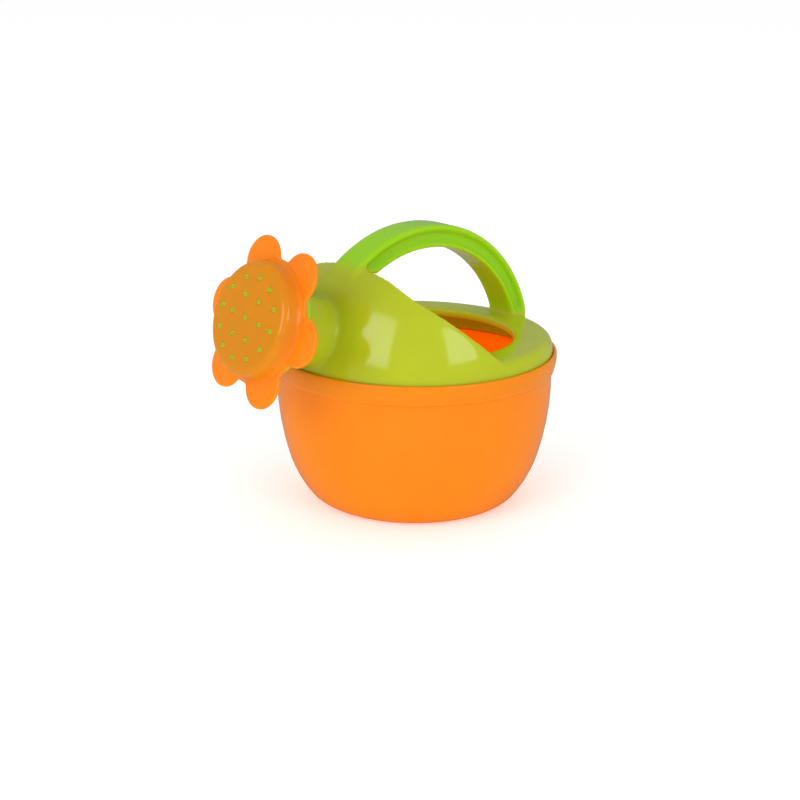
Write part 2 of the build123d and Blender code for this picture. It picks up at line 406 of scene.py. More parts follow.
hood = combine(dome(0, DOME_FOOT), in_front_of_mouth(), "INTERSECT")
hood = combine(hood, inner_dome(), "DIFFERENCE")
hollow = combine(inner_dome(), in_front_of_mouth(), "INTERSECT")
print("the hood's wall holds", round(hood.calc_volume()), "cubic mm")

# %% [markdown]
# ## The shelf and the skirt
# Behind the hood the dome is cut level, which makes a flat shelf round the filling hole. Its outer
# edge is rounded over, its inner edge turns down into a short lip, and a skirt under it goes down
# inside the pot's rim. All of that is one closed outline, so one spin makes the whole ring. The
# shelf is then cut away in front, where the hood is open below, but the skirt goes all the way
# round.

# %% Shelf
SHELF_TOP = 54.2
SHELF_EDGE = (43.95, SHELF_TOP)
SHELF_ROUNDING = 2.6
SHELF_UNDERSIDE = SHELF_TOP - COVER_WALL
SHELF_FRONT = -5.0
ABOVE_COVER = 70.0
FILL_ACROSS = 32.0
FILL_LIP = 1.4
FILL_ROUNDING = 0.8


def block(low, high):
    """A box between two corners."""
    bm = bmesh.new()
    bmesh.ops.create_cube(bm, size=1)
    low, high = Vector(low), Vector(high)
    bmesh.ops.scale(bm, vec=high - low, verts=bm.verts[:])
    bmesh.ops.translate(bm, vec=(low + high) / 2, verts=bm.verts[:])
    return bm


shelf = bmesh.new()
first = tip = shelf.verts.new((SKIRT_ACROSS, 0, SKIRT_FOOT))
tip = line_to(shelf, tip, SKIRT_ACROSS, DOME_FOOT)
tip, heading = arc_to(shelf, tip, WALL_HEADING, *SHELF_EDGE)
for corner in ((FILL_ACROSS, SHELF_TOP), (FILL_ACROSS, SHELF_UNDERSIDE - FILL_LIP),
               (FILL_ACROSS + FILL_LIP, SHELF_UNDERSIDE - FILL_LIP),
               (FILL_ACROSS + FILL_LIP, SHELF_UNDERSIDE),
               (SKIRT_ACROSS - COVER_WALL, SHELF_UNDERSIDE),
               (SKIRT_ACROSS - COVER_WALL, SKIRT_FOOT)):
    tip = line_to(shelf, tip, *corner)
shelf.edges.new((tip, first))
lathe(shelf)
round_edges(shelf, ring_edges(shelf, *SHELF_EDGE), SHELF_ROUNDING, segments=8)
round_edges(shelf, ring_edges(shelf, FILL_ACROSS, SHELF_TOP), FILL_ROUNDING)
under_hood = block((-BEYOND, -BEYOND, DOME_FOOT), (SHELF_FRONT, BEYOND, ABOVE_COVER))
shelf = combine(shelf, under_hood, "DIFFERENCE")
print("the shelf and skirt hold", round(shelf.calc_volume()), "cubic mm")

# %% [markdown]
# ## The handle
# The handle is an arch with a rounded rectangle for its section. It springs from the hood, goes
# over the filling hole and stands on the shelf behind it. Its outside and its inside are arcs about
# different centres, so it is a little thicker at the front. It is cut from a disc with rounded
# edges by a bobbin whose rims flare, because the flare rounds the arch's inner edges in the same
# cut.

# %% Handle
HANDLE_HALF = 6.2
HANDLE_ROUNDING = 0.9
HANDLE_OUTSIDE = (0.2, 42.6, 47.3)
HANDLE_INSIDE = (0.0, 41.3, 41.3)
GRIP_OUTER_RIM = 2.0
GRIP_INNER_RIM = 1.5
GRIP_DEPTH = 1.7
GRIP_FRONT = -25.5
GRIP_FOOT = 55.8
FOOT_ACROSS = 45.7
FOOT_HEIGHT = 50.2
HANDLE_ROOT = (-20.8, 77.6)
DISC_SIDES = 240
SQUARE_CORNER = math.radians(60)


def disc(circle, near, far, flare=0.0):
    """A disc round an axis along Y. A flare widens its rims in a quarter circle, as on a bobbin."""
    across, height, radius = circle
    bm = bmesh.new()
    tip = bm.verts.new((0, 0, near - flare))
    if flare:
        tip = line_to(bm, tip, radius + flare, near - flare)
        tip = line_to(bm, tip, radius + flare, near)
        tip = swing(bm, tip, (radius + flare, near + flare), -QUARTER)
        tip = line_to(bm, tip, radius, far - flare)
        tip = swing(bm, tip, (radius + flare, far - flare), -QUARTER)
        tip = line_to(bm, tip, radius + flare, far + flare)
    else:
        tip = line_to(bm, tip, radius, near)
        tip = line_to(bm, tip, radius, far)
    line_to(bm, tip, 0, far + flare)
    lathe(bm, sides=DISC_SIDES)
    laid_down = Matrix.Translation((across, 0, height)) @ Matrix.Rotation(QUARTER, 4, "X")
    bmesh.ops.transform(bm, matrix=laid_down, verts=bm.verts[:])
    return bm


def smaller(circle, by):
    """The same circle with its radius made smaller."""
    return circle[0], circle[1], circle[2] - by


arch = disc(HANDLE_OUTSIDE, -HANDLE_HALF, HANDLE_HALF)
rim = [e for e in arch.edges if e.calc_face_angle(0) > SQUARE_CORNER]
round_edges(arch, rim, HANDLE_ROUNDING)
bobbin = disc(HANDLE_INSIDE, -HANDLE_HALF, HANDLE_HALF, HANDLE_ROUNDING)
arch = combine(arch, bobbin, "DIFFERENCE")
print("the whole ring holds", round(arch.calc_volume()), "cubic mm")

# %% [markdown]
# ### Channels, foot and root
# A channel runs along each side of the arch, which saves plastic and gives fingers a grip. Two
# flanges are left beside it. The back foot stands over the pot's rim and just clear of it, so the
# arch is kept inside a cylinder and above a plane. The front root is cut off under the hood, where
# the space stays free for water.

# %% Handle cuts
PAST_SIDE = 2.0
PAST_CHANNEL = 1.0


def cylinder(radius, low, high, place=None):
    """A solid cylinder between two heights on the Z axis, which a matrix can then lay down."""
    bm = bmesh.new()
    upright = Matrix.Translation((0, 0, (low + high) / 2))
    bmesh.ops.create_cone(
        bm, cap_ends=True, segments=SIDES, radius1=radius, radius2=radius, depth=high - low,
        matrix=upright if place is None else place @ upright,
    )
    return bm


grip_space = block((GRIP_FRONT, -BEYOND, GRIP_FOOT), (BEYOND, BEYOND, 2 * BEYOND))
root_flange = block((-BEYOND, -BEYOND, 0), (0, BEYOND, HANDLE_ROOT[1] + GRIP_INNER_RIM))
floor_of_channel = HANDLE_HALF - GRIP_DEPTH
for side in (-1, 1):
    ends = sorted((side * floor_of_channel, side * (HANDLE_HALF + PAST_SIDE)))
    channel = disc(smaller(HANDLE_OUTSIDE, GRIP_OUTER_RIM), *ends)
    core_ends = (ends[0] - PAST_CHANNEL, ends[1] + PAST_CHANNEL)
    core = disc(smaller(HANDLE_INSIDE, -GRIP_INNER_RIM), *core_ends)
    channel = combine(channel, core, "DIFFERENCE")
    channel = combine(channel, grip_space, "INTERSECT")
    channel = combine(channel, root_flange, "DIFFERENCE")
    arch = combine(arch, channel, "DIFFERENCE")

foot_limit = cylinder(FOOT_ACROSS, FOOT_HEIGHT, FOOT_HEIGHT + BEYOND)
under_root = block((-BEYOND, -BEYOND, 0), (HANDLE_ROOT[0], BEYOND, HANDLE_ROOT[1]))
under_shelf = cylinder(SKIRT_ACROSS - COVER_WALL, SHELF_UNDERSIDE - BEYOND, SHELF_UNDERSIDE)
arch = combine(arch, foot_limit, "INTERSECT")
for space in (under_root, under_shelf, hollow):
    arch = combine(arch, space, "DIFFERENCE")
print("the arch holds", round(arch.calc_volume()), "cubic mm")

# %% [markdown]
# ## The spout's neck
# The neck is a short tube that leaves the hood's front along the spout's axis. Its bore goes on
# through the hood's wall. Both are cylinders on the spout's own axis, where distances are measured
# from the flower's face.

# %% Neck
NECK_ACROSS = 10.5
NECK_BORE = 8.9
NECK_TIP = -8.5
NECK_ROOT = -30.4
BORE_ENDS = (-40.4, 10.0)

bore = cylinder(NECK_BORE, *BORE_ENDS, place=on_spout)
neck = cylinder(NECK_ACROSS, NECK_ROOT, NECK_TIP, place=on_spout)
neck = combine(neck, hollow, "DIFFERENCE")
neck = combine(neck, bore, "DIFFERENCE")
hood = combine(hood, bore, "DIFFERENCE")
print("the neck holds", round(neck.calc_volume()), "cubic mm")

# %% [markdown]
# ## One moulding
# The real cover comes out of one mould, and no corner on it is sharp: the steel is rounded wherever
# plastic has to flow round it. A bevel can't follow the short, crooked edges that Boolean cuts
# leave. So the four overlapping solids are put in one mesh, and a voxel remesh melts them into one
# even skin. A few passes of vertex smoothing then round every corner by a little under a
# millimetre, and leave the broad curves alone. The hood, shelf and neck are first put in search
# trees, because their colour is chosen by place later.

# %% Join and soften
SKIN_VOXEL = 0.52
SOFTEN_PASSES = 13
SOFTEN_SHARE = 0.5


def join(parts):
    """Puts several bmeshes in one."""
    whole = bmesh.new()
    for part in parts:
        mesh = bpy.data.meshes.new("part")
        part.to_mesh(mesh)
        whole.from_mesh(mesh)
        part.free()
        bpy.data.meshes.remove(mesh)
    return whole


def melt(bm, voxel, passes):
    """Remeshes overlapping solids into one skin and softens it."""
    holder = temporary_object(bm, "melt")
    modifier = holder.modifiers.new("melt", "REMESH")
    modifier.mode = "VOXEL"
    modifier.voxel_size = voxel
    skin = read_evaluated(holder)
    bpy.data.objects.remove(holder)
    bm.free()
    for _ in range(passes):
        bmesh.ops.smooth_vert(
            skin, verts=skin.verts[:], factor=SOFTEN_SHARE,
            use_axis_x=True, use_axis_y=True, use_axis_z=True,
        )
    bmesh.ops.recalc_face_normals(skin, faces=skin.faces[:])
    return skin


warm_trees = [BVHTree.FromBMesh(part) for part in (hood, shelf, neck)]
cover_skin = melt(join([hood, shelf, arch, neck]), SKIN_VOXEL, SOFTEN_PASSES)
print("the cover holds", round(cover_skin.calc_volume()), "cubic mm")
cover = make_piece(cover_skin, "cover_moulding")

# %% [markdown]
# ### Where the cover lies over the pot
# Light that comes through the hood and the shelf has passed the orange pot, so they look warmer
# than the handle. That warm light is painted into their colour. A value on each point says how much
# of the cover lies over the pot: one on the hood, the shelf and the neck, and zero a little way up
# the handle. The distance comes from search trees, which find the nearest face of those three solids
# as they were before they were joined. The finish reads the value by its name.

# %% Warmth attribute
WARM_WITHIN = 0.6
WARM_FADE = 1.8


def ease(share):
    """Runs smoothly from 0 to 1 and stays within them."""
    share = min(1.0, max(0.0, share))
    return share * share * (3 - 2 * share)


warmth = []
for vert in cover.data.vertices:
    point = vert.co / MM
    distance = min(tree.find_nearest(point)[3] for tree in warm_trees)
    warmth.append(1 - ease((distance - WARM_WITHIN) / WARM_FADE))
cover.data.attributes.new("painted_pot_light", "FLOAT", "POINT").data.foreach_set("value", warmth)
print("mean warmth of the cover:", round(sum(warmth) / len(warmth), 2))

# %% [markdown]
# ## The cup
# The cup is a shallow green dish behind the flower. Its collar pushes on the neck, and the flower's
# skirt turns on its rim. It is one turned outline, with the back edge rounded by a bevel on its
# ring of edges.

# %% Cup
CUP_ACROSS = 17.0
CUP_WALL = 1.3
CUP_MOUTH = -3.2
CUP_BACK = -13.2
CUP_SLOPE = 1.4
CUP_FIT = 0.06
CUP_ROUNDING = 1.8
CUP_RIM_ROUNDING = 0.3

cup_inside = CUP_ACROSS - CUP_WALL
collar_inside = NECK_ACROSS + CUP_FIT
collar_outside = NECK_ACROSS + CUP_WALL
collar_tip = NECK_TIP + 1.0
bm = bmesh.new()
first = tip = bm.verts.new((CUP_ACROSS, 0, CUP_MOUTH))
for corner in ((cup_inside, CUP_MOUTH), (cup_inside, CUP_BACK + CUP_SLOPE + CUP_WALL),
               (collar_outside, CUP_BACK + CUP_WALL), (collar_outside, collar_tip),
               (collar_inside, collar_tip), (collar_inside, CUP_BACK),
               (CUP_ACROSS, CUP_BACK + CUP_SLOPE)):
    tip = line_to(bm, tip, *corner)
bm.edges.new((tip, first))
lathe(bm)
back_edge = ring_edges(bm, CUP_ACROSS, CUP_BACK + CUP_SLOPE)
round_edges(bm, back_edge, CUP_ROUNDING, segments=8)
small_rims = ring_edges(bm, collar_inside, CUP_BACK) + ring_edges(bm, CUP_ACROSS, CUP_MOUTH)
small_rims += ring_edges(bm, cup_inside, CUP_MOUTH)
round_edges(bm, small_rims, CUP_RIM_ROUNDING, segments=3)
cup = make_piece(bm, "rose_cup_dish", on_spout)

# %% [markdown]
# ## The flower's face
# The face is a shallow dome that rolls over into a skirt, and the skirt flares out into the petals.
# Its outer skin and its inner skin are two open outlines, each spun once. The petal plate will
# close the gap between their edges.

# %% Flower face
FACE_EDGE = (15.3, -0.6)
FACE_SHOULDER = (17.45, -2.4)
FACE_WAIST = (17.95, -4.7)
FLARE_HEADING = math.radians(-78)
FLARE_END = 18.8
PETAL_FRONT = -6.5
PETAL_THICK = 1.2
FLOWER_WALL = 1.3
FLOWER_FIT = 0.08
INSIDE_DROP = 0.8
SKIRT_INSIDE = 0.2

petal_back = PETAL_FRONT - PETAL_THICK
bore_across = CUP_ACROSS + FLOWER_FIT

flower = bmesh.new()
tip = flower.verts.new((0, 0, 0))
tip, heading = arc_to(flower, tip, 0, *FACE_EDGE)
tip, heading = arc_to(flower, tip, heading, *FACE_SHOULDER)
tip = line_to(flower, tip, *FACE_WAIST)
tip, heading = arc_to(flower, tip, FLARE_HEADING, FLARE_END, PETAL_FRONT)
lathe(flower)

inner = bmesh.new()
tip = inner.verts.new((bore_across, 0, petal_back))
for corner in ((bore_across, CUP_MOUTH + SKIRT_INSIDE),
               (bore_across - FLOWER_WALL, -FLOWER_WALL - INSIDE_DROP),
               (0, -FLOWER_WALL)):
    tip = line_to(inner, tip, *corner)
lathe(inner)
flower = join([flower, inner])
print("flower face and inside", len(flower.faces), "faces")

# %% [markdown]
# ## The petals
# Six round petals stand round the skirt, and the notch between two petals is rounded too. A petal's
# outline is an arc about a point on the pitch circle. A small arc, which bends the other way, joins
# it to the ring. The centre of that small arc follows from the triangle between the axis, the
# petal's centre and the notch. The outline is drawn once for each petal.

# %% Petal outline
PETAL_COUNT = 6
PETAL_ACROSS = 7.6
PETAL_PITCH = 19.0
PETAL_RING = 19.25
NOTCH_ROUNDING = 1.6
PETAL_TURN = math.radians(22.5)

notch_out = PETAL_RING + NOTCH_ROUNDING
petal_to_notch = PETAL_ACROSS + NOTCH_ROUNDING
notch_around = math.acos(
    (PETAL_PITCH ** 2 + notch_out ** 2 - petal_to_notch ** 2) / (2 * PETAL_PITCH * notch_out)
)
notch_centre = Vector((notch_out * math.cos(notch_around), notch_out * math.sin(notch_around)))
petal_half = math.atan2(notch_centre.y, notch_centre.x - PETAL_PITCH)
notch_turn = petal_half - notch_around
ring_turn = 2 * math.pi / PETAL_COUNT - 2 * notch_around


def around(distance, angle):
    """A point at a distance and an angle from the axis, across and up the drawing."""
    return distance * math.cos(angle), distance * math.sin(angle)


outline = bmesh.new()
start = around(PETAL_RING, -notch_around)
tip = outline.verts.new((start[0], 0, start[1]))
for petal in range(PETAL_COUNT):
    turned = petal * 2 * math.pi / PETAL_COUNT
    tip = swing(outline, tip, around(notch_out, turned - notch_around), -notch_turn)
    tip = swing(outline, tip, around(PETAL_PITCH, turned), 2 * petal_half)
    tip = swing(outline, tip, around(notch_out, turned + notch_around), -notch_turn)
    tip = swing(outline, tip, (0, 0), ring_turn)
bmesh.ops.remove_doubles(outline, verts=outline.verts[:], dist=SAME_POINT)
laid_flat = Matrix.Translation((0, 0, PETAL_FRONT)) @ Matrix.Rotation(PETAL_TURN, 4, "Z")
laid_flat = laid_flat @ Matrix.Rotation(-QUARTER, 4, "X")
bmesh.ops.transform(outline, matrix=laid_flat, verts=outline.verts[:])
print("one petal's arc turns", round(math.degrees(2 * petal_half)), "degrees")

# %% [markdown]
# ### The petal plate
# The outline now has to become a plate that joins the face's two skins. A fill of triangles closes
# the ring between the outline and the flared skirt, which is the petals' front. Extruding the
# outline's edges gives the petals their thickness, and a second fill closes the back up to the
# bore. Both rims are then rounded.

# %% Petal plate
PETAL_ROUNDING = 0.4
flower = join([flower, outline])
outline_edges = [e for e in flower.edges if e.is_wire]
front_ring = ring_edges(flower, FLARE_END, PETAL_FRONT)
back_ring = ring_edges(flower, bore_across, petal_back)

bmesh.ops.triangle_fill(flower, use_beauty=True, edges=outline_edges + front_ring)
swept = bmesh.ops.extrude_edge_only(flower, edges=outline_edges)["geom"]
back_verts = [g for g in swept if isinstance(g, bmesh.types.BMVert)]
back_edges = [g for g in swept if isinstance(g, bmesh.types.BMEdge)]
bmesh.ops.translate(flower, vec=(0, 0, -PETAL_THICK), verts=back_verts)
bmesh.ops.triangle_fill(flower, use_beauty=True, edges=back_edges + back_ring)
bmesh.ops.recalc_face_normals(flower, faces=flower.faces[:])
print("open edges:", sum(1 for e in flower.edges if len(e.link_faces) != 2))
round_edges(flower, outline_edges + back_edges, PETAL_ROUNDING, segments=4)

# %% [markdown]
# ## The watering holes
# Nineteen holes go through the face: one in the middle, a ring of six and a ring of twelve. Each
# cutter is a small turned pin that widens at the face, so that the hole gets the soft edge of a
# moulded one.

# %% Holes
HOLE_ACROSS = 0.8
HOLE_RINGS = ((0.0, 1), (7.0, 6), (12.5, 12))
HOLE_SOFT = 0.25
HOLE_SIDES = 24
CUTTER_FOOT = -4.0
CUTTER_TOP = 1.0
FACE_DROP = -FACE_EDGE[1] / FACE_EDGE[0] ** 2


def hole_cutter(x, y):
    """A pin that widens where it meets the face at that place."""
    bm = bmesh.new()
    tip = bm.verts.new((0, 0, CUTTER_FOOT))
    tip = line_to(bm, tip, HOLE_ACROSS, CUTTER_FOOT)
    tip = line_to(bm, tip, HOLE_ACROSS, -HOLE_SOFT)
    tip = line_to(bm, tip, HOLE_ACROSS + HOLE_SOFT / 3, -HOLE_SOFT / 3)
    tip = line_to(bm, tip, HOLE_ACROSS + HOLE_SOFT, HOLE_SOFT / 3)
    tip = line_to(bm, tip, HOLE_ACROSS + HOLE_SOFT, CUTTER_TOP)
    line_to(bm, tip, 0, CUTTER_TOP)
    lathe(bm, sides=HOLE_SIDES)
    bmesh.ops.translate(bm, vec=(x, y, -FACE_DROP * (x * x + y * y)), verts=bm.verts[:])
    return bm


hole_places = []
for ring, count in HOLE_RINGS:
    for place in range(count):
        hole_places.append(around(ring, PETAL_TURN + 2 * math.pi * place / count))
cutters = join([hole_cutter(x, y) for x, y in hole_places])
flower = combine(flower, cutters, "DIFFERENCE")
print("open edges:", sum(1 for e in flower.edges if len(e.link_faces) != 2))
rose = make_piece(flower, "flower_rose", on_spout)

# %% [markdown]
# ### Where the flower covers green
# The thin face lets some of the green behind it through, which browns its orange. That browning
# is painted into its colour. The petals have nothing behind them. A value on each point says which
# it is, by its distance from the spout's axis.

# %% Flower attribute
GREEN_BEHIND = 16.4
GREEN_FADE = 1.8

to_spout = on_spout.inverted()
behind = []
for vert in rose.data.vertices:
    across = (to_spout @ (vert.co / MM)).xy.length
    behind.append(1 - ease((across - GREEN_BEHIND) / GREEN_FADE))
rose.data.attributes.new("painted_green_light", "FLOAT", "POINT").data.foreach_set("value", behind)
print("mean value:", round(sum(behind) / len(behind), 2))

# %% [markdown]
# ## The spray plate
# The holes of the real flower show green, because a green plate lies behind the face, and a small
# nozzle on it stands in each hole, a little below the face. The plate follows the face's inside.
# Its nozzles are pins that narrow towards their tips, joined on in one cut and bored in a second
# one.

# %% Spray plate
PLATE_ACROSS = 15.2
PLATE_GAP = 0.05
PLATE_THICK = 0.8
NOZZLE_ACROSS = 0.78
NOZZLE_TIP_ACROSS = 0.74
NOZZLE_BORE = 0.28
NOZZLE_BELOW_FACE = 0.12
NOZZLE_SIDES = 20


def pins(foot_radius, tip_radius, low, below_face):
    """A pin in each hole's place, from one depth up to a little below the face."""
    bm = bmesh.new()
    for x, y in hole_places:
        high = -FACE_DROP * (x * x + y * y) - below_face
        bmesh.ops.create_cone(
            bm, cap_ends=True, segments=NOZZLE_SIDES, radius1=foot_radius, radius2=tip_radius,
            depth=high - low, matrix=Matrix.Translation((x, y, (low + high) / 2)),
        )
    return bm


plate = bmesh.new()
top = -FLOWER_WALL - PLATE_GAP
edge_top = top - INSIDE_DROP * PLATE_ACROSS / (bore_across - FLOWER_WALL)
tip = plate.verts.new((0, 0, top - PLATE_THICK))
for corner in ((PLATE_ACROSS, edge_top - PLATE_THICK), (PLATE_ACROSS, edge_top), (0, top)):
    tip = line_to(plate, tip, *corner)
lathe(plate)
nozzles = pins(NOZZLE_ACROSS, NOZZLE_TIP_ACROSS, top - PLATE_THICK / 2, NOZZLE_BELOW_FACE)
bores = pins(NOZZLE_BORE, NOZZLE_BORE, top - 3 * PLATE_THICK, -CUTTER_TOP)
plate = combine(plate, nozzles, "UNION")
plate = combine(plate, bores, "DIFFERENCE")
spray_plate = make_piece(plate, "spray_plate", on_spout)

# %% [markdown]
# ### Walls lit from behind
# The walls are thin enough for light to come through them, so the inside of the real can is a
# vivid, warm colour and not a dark hole. A value on each point says how squarely the skin faces the
# middle of the can's hollow. The finish adds a little glow there.

# %% Inner walls
HOLLOW_CENTRE = Vector((HANDLE_INSIDE[0], 0, HANDLE_INSIDE[1]))
HOLLOW_REACH = 45.2
FACING_GAIN = 1.5


def store_inner_walls(piece):
    """Stores 1 on skin that faces the hollow from within its reach, and 0 on other skin."""
    values = []
    for vert in piece.data.vertices:
        inward = HOLLOW_CENTRE - vert.co / MM
        facing = ease(FACING_GAIN * vert.normal.dot(inward.normalized()))
        values.append(facing * ease(HOLLOW_REACH - inward.length))
    piece.data.attributes.new("inner_wall", "FLOAT", "POINT").data.foreach_set("value", values)
    print(piece.name, "faces inwards on", round(100 * sum(values) / len(values)), "% of its points")


store_inner_walls(pot)
store_inner_walls(cover)

# %% [markdown]
# ## Bodies and stand-ins
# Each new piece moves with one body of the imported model. The four mouldings stand for the bodies'
# plain CAD solids, which stay hidden for collision. The spray plate is extra, and turns with the
# flower that holds it.

# %% Ride and replace
MAIN_PIECES = (
    (pot, "pot", "pot_plastic"),
    (cover, "cover", "cover_plastic"),
    (cup, "rose_cup", "cup_plastic"),
    (rose, "flower", "flower_plastic"),
)
for piece, body, slot in MAIN_PIECES:
    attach(piece, body)
    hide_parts(body)
    print(piece.name, "rides on", body)

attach(spray_plate, "flower")

# %% [markdown]
# ## Moulded plastic
# All the pieces are glossy moulded plastic, so they share one group of nodes. Coloured plastic is
# never quite even: the pigment clouds a little where it flowed, the skin has a fine orange peel,
# and play leaves hair-fine rubs that are a bit duller than the gloss. The group puts out the
# colour, the roughness and a height for a bump. The shader stays in each material, where its other
# values are set.

# %% Plastic group
INPUTS = (
    ("Colour", "NodeSocketColor", (0.8, 0.8, 0.8, 1)),
    ("Deep colour", "NodeSocketColor", (0.6, 0.6, 0.6, 1)),
    ("Clouding", "NodeSocketFloat", 0.3),
    ("Gloss", "NodeSocketFloat", 0.2),
    ("Rubbed gloss", "NodeSocketFloat", 0.34),
)
OUTPUTS = (
    ("Colour", "NodeSocketColor"),
    ("Roughness", "NodeSocketFloat"),
    ("Height", "NodeSocketFloat"),
)


def node(tree, kind, **settings):
    """Adds a node. A setting whose name is one of its sockets is that socket's value."""
    made = tree.nodes.new(kind)
    for name, value in settings.items():
        socket = made.inputs.get(name.replace("_", " "))
        if socket is not None:
            socket.default_value = value
        else:
            setattr(made, name, value)
    return made


PEEL_MM = 0.004
RUB_MM = 0.001
HAZE_SHARE = 0.25

group = bpy.data.node_groups.new("moulded plastic", "ShaderNodeTree")
for name, kind, value in INPUTS:
    group.interface.new_socket(name, in_out="INPUT", socket_type=kind).default_value = value
for name, kind in OUTPUTS:
    group.interface.new_socket(name, in_out="OUTPUT", socket_type=kind)
link = group.links.new
given = group.nodes.new("NodeGroupInput")
result = group.nodes.new("NodeGroupOutput")
place = group.nodes.new("ShaderNodeTexCoord")

# clouds of pigment, a few millimetres to a few centimetres across
clouds = node(group, "ShaderNodeTexNoise", Scale=38, Detail=3, Roughness=0.55)
link(place.outputs["Object"], clouds.inputs["Vector"])
cloud_range = node(group, "ShaderNodeMapRange", From_Min=0.35, From_Max=0.7, clamp=True)
link(clouds.outputs["Fac"], cloud_range.inputs["Value"])
cloud_amount = node(group, "ShaderNodeMath", operation="MULTIPLY")
link(cloud_range.outputs["Result"], cloud_amount.inputs[0])
link(given.outputs["Clouding"], cloud_amount.inputs[1])
tint = node(group, "ShaderNodeMix", data_type="RGBA")
link(cloud_amount.outputs[0], tint.inputs["Factor"])
link(given.outputs["Colour"], tint.inputs["A"])
link(given.outputs["Deep colour"], tint.inputs["B"])

# fine orange peel, about a millimetre across
peel = node(group, "ShaderNodeTexNoise", Scale=900, Detail=1)
link(place.outputs["Object"], peel.inputs["Vector"])
peel_height = node(group, "ShaderNodeMath", operation="MULTIPLY")
peel_height.inputs[1].default_value = PEEL_MM
link(peel.outputs["Fac"], peel_height.inputs[0])

# %% [markdown]
# ### Rubs
# A rub is a thin streak that runs mostly level, because the can is slid about on sand and shelves.
# A noise that is squeezed hard in height gives streaks, and a second, coarse noise keeps them to a
# few worn patches. Where both are high the skin is duller and very slightly lower.

# %% Rubs
RUB_SQUEEZE = (30, 30, 1500)
RUB_TILT = (math.radians(3), math.radians(4), 0)

squeeze = node(group, "ShaderNodeMapping", Scale=RUB_SQUEEZE, Rotation=RUB_TILT)
link(place.outputs["Object"], squeeze.inputs["Vector"])
streaks = node(group, "ShaderNodeTexNoise", Scale=1.6, Detail=2)
link(squeeze.outputs["Vector"], streaks.inputs["Vector"])
thin = node(group, "ShaderNodeMapRange", From_Min=0.6, From_Max=0.72, clamp=True)
link(streaks.outputs["Fac"], thin.inputs["Value"])
patches = node(group, "ShaderNodeTexNoise", Scale=55, Detail=2)
link(place.outputs["Object"], patches.inputs["Vector"])
worn = node(group, "ShaderNodeMapRange", From_Min=0.48, From_Max=0.66, clamp=True)
link(patches.outputs["Fac"], worn.inputs["Value"])
rub = node(group, "ShaderNodeMath", operation="MULTIPLY")
link(thin.outputs["Result"], rub.inputs[0])
link(worn.outputs["Result"], rub.inputs[1])

dulled = node(group, "ShaderNodeMath", operation="MAXIMUM")
haze = node(group, "ShaderNodeMath", operation="MULTIPLY")
haze.inputs[1].default_value = HAZE_SHARE
link(worn.outputs["Result"], haze.inputs[0])
link(rub.outputs[0], dulled.inputs[0])
link(haze.outputs[0], dulled.inputs[1])
roughness = node(group, "ShaderNodeMix", data_type="FLOAT")
link(dulled.outputs[0], roughness.inputs["Factor"])
link(given.outputs["Gloss"], roughness.inputs["A"])
link(given.outputs["Rubbed gloss"], roughness.inputs["B"])

dip = node(group, "ShaderNodeMath", operation="MULTIPLY")
dip.inputs[1].default_value = -RUB_MM
link(rub.outputs[0], dip.inputs[0])
height = node(group, "ShaderNodeMath", operation="ADD")
link(peel_height.outputs[0], height.inputs[0])
link(dip.outputs[0], height.inputs[1])
link(tint.outputs["Result"], result.inputs["Colour"])
link(roughness.outputs["Result"], result.inputs["Roughness"])
link(height.outputs[0], result.inputs["Height"])
print("the plastic group has", len(group.nodes), "nodes")

# %% [markdown]
# ## The four finishes
# Each part takes the group with its own colours. The plastic lets a little light in, which softens
# its shadows and warms its thin edges. That is what Subsurface does, with a depth of a few
# millimetres. Its weight, depth and index of refraction are the same all over, so they are set on
# the shader itself.

# %% Finishes
PLASTIC_IOR = 1.49
GLOW_SHARE = 0.5
GLOW_DEPTH = 0.004
GLOW_SPREAD = (1.0, 0.55, 0.2)
POT_ORANGE = ((0.92, 0.248, 0.004), (0.85, 0.2, 0.003))
POT_WALL_GLOW = (0.38, 0.055, 0.0)
CUP_GREEN = ((0.38, 0.62, 0.018), (0.3, 0.52, 0.012))


def plastic(name, colour, deep, clouding=0.35, gloss=0.18, rubbed=0.27, shine=0.5):
    """A moulded plastic material. Gives the material and its group node."""
    material = bpy.data.materials.new(name)
    material.use_nodes = True
    tree = material.node_tree
    shader = tree.nodes["Principled BSDF"]
    skin = tree.nodes.new("ShaderNodeGroup")
    skin.node_tree = group
    skin.inputs["Colour"].default_value = (*colour, 1)
    skin.inputs["Deep colour"].default_value = (*deep, 1)
    skin.inputs["Clouding"].default_value = clouding
    skin.inputs["Gloss"].default_value = gloss
    skin.inputs["Rubbed gloss"].default_value = rubbed
    bump = tree.nodes.new("ShaderNodeBump")
    bump.inputs["Distance"].default_value = MM
    tree.links.new(skin.outputs["Colour"], shader.inputs["Base Color"])
    tree.links.new(skin.outputs["Roughness"], shader.inputs["Roughness"])
    tree.links.new(skin.outputs["Height"], bump.inputs["Height"])
    tree.links.new(bump.outputs["Normal"], shader.inputs["Normal"])
    shader.inputs["IOR"].default_value = PLASTIC_IOR
    shader.inputs["Specular IOR Level"].default_value = shine
    shader.inputs["Subsurface Weight"].default_value = GLOW_SHARE
    shader.inputs["Subsurface Radius"].default_value = GLOW_SPREAD
    shader.inputs["Subsurface Scale"].default_value = GLOW_DEPTH
    return material, skin


def light_inner_walls(material, colour):
    """Adds the glow of light that comes through the walls, where the skin faces the hollow."""
    tree = material.node_tree
    shader = tree.nodes["Principled BSDF"]
    stored = node(tree, "ShaderNodeAttribute", attribute_name="inner_wall")
    glow = node(tree, "ShaderNodeMix", data_type="RGBA", A=(0, 0, 0, 1), B=(*colour, 1))
    tree.links.new(stored.outputs["Fac"], glow.inputs["Factor"])
    tree.links.new(glow.outputs["Result"], shader.inputs["Emission Color"])
    shader.inputs["Emission Strength"].default_value = 1.0


